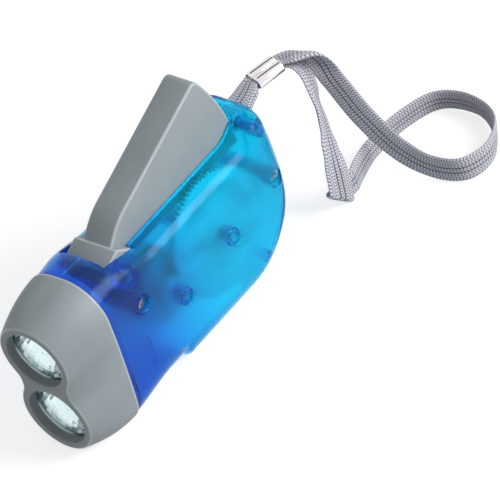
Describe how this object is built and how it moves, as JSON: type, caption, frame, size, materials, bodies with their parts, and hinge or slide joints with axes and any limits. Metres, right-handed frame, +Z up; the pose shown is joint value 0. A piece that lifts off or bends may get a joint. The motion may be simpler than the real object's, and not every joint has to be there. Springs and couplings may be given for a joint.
{
  "type": "hand squeeze dynamo torch",
  "caption": "Hand squeeze dynamo torch with a clear blue shell, grey head cap, squeeze lever, gear train, magnet rotor and wrist strap.",
  "frame": {"origin": "middle of the underside, on the surface that the torch stands on, halfway between the head cap's front and the back of the shells", "axes": "+X from the lenses to the wrist strap, +Y to the right side, +Z up to the lever"},
  "size_m": [0.1616, 0.0667, 0.0708],
  "materials": {
    "clear_blue": "clear tinted, glossy",
    "grey_plastic": "satin, fine grain",
    "lens": "clear, polished",
    "reflector": "silvered plastic",
    "led": "clear epoxy",
    "board": "lacquered",
    "nylon": "natural",
    "steel": "bright",
    "spring_steel": "drawn",
    "brass": "turned",
    "magnet": "sintered ferrite",
    "stator_steel": "zinc plated",
    "copper": "enamelled copper wire",
    "red_lead": "satin",
    "black_lead": "satin",
    "webbing": "woven herringbone",
    "clamp_chrome": "polished"
  },
  "bodies": {
    "housing": {"left_shell": "clear_blue", "right_shell": "clear_blue", "head_cap": "grey_plastic", "upper_lens": "lens", "lower_lens": "lens", "upper_reflector": "reflector", "lower_reflector": "reflector", "upper_led": "led", "lower_led": "led", "led_board": "board", "lever_pin": "steel", "return_spring": "spring_steel", "stator_cup": "stator_steel", "coil_bobbin": "nylon", "coil_winding": "copper", "red_lead": "red_lead", "black_lead": "black_lead", "front_screw": "steel", "rear_screw": "steel", "strap_pin": "clear_blue", "strap_anchor": "webbing", "strap_loop": "webbing", "strap_clamp": "clamp_chrome"},
    "lever": {"squeeze_lever": "grey_plastic", "sector_rack": "nylon"},
    "gear": {"drive_gear": "nylon", "drive_pinion": "nylon", "gear_shaft": "steel"},
    "rotor": {"rotor_pinion": "nylon", "flywheel": "brass", "magnet_rotor": "magnet", "rotor_shaft": "steel"}
  },
  "joints": [
    {"name": "lever_squeeze", "type": "hinge", "parent": "housing", "child": "lever", "pos_m": [-0.0178, 0, 0.043], "axis": [0, 1, 0], "range_deg": [0, 19], "stiffness_Nm_per_rad": 0.25, "springref_deg": -17.19, "deforming": ["return_spring"]},
    {"name": "gear_turn", "type": "hinge", "parent": "housing", "child": "gear", "pos_m": [0.02189, 0, 0.024], "axis": [0, 1, 0], "range_deg": [0, 194]},
    {"name": "rotor_turn", "type": "hinge", "parent": "housing", "child": "rotor", "pos_m": [-0.002, 0, 0.0217], "axis": [0, 1, 0], "range_deg": [-838, 0]}
  ],
  "couplings": [
    {"joint": "gear_turn", "follows": "lever_squeeze", "ratio": 10.167},
    {"joint": "rotor_turn", "follows": "lever_squeeze", "ratio": -44.056}
  ]
}
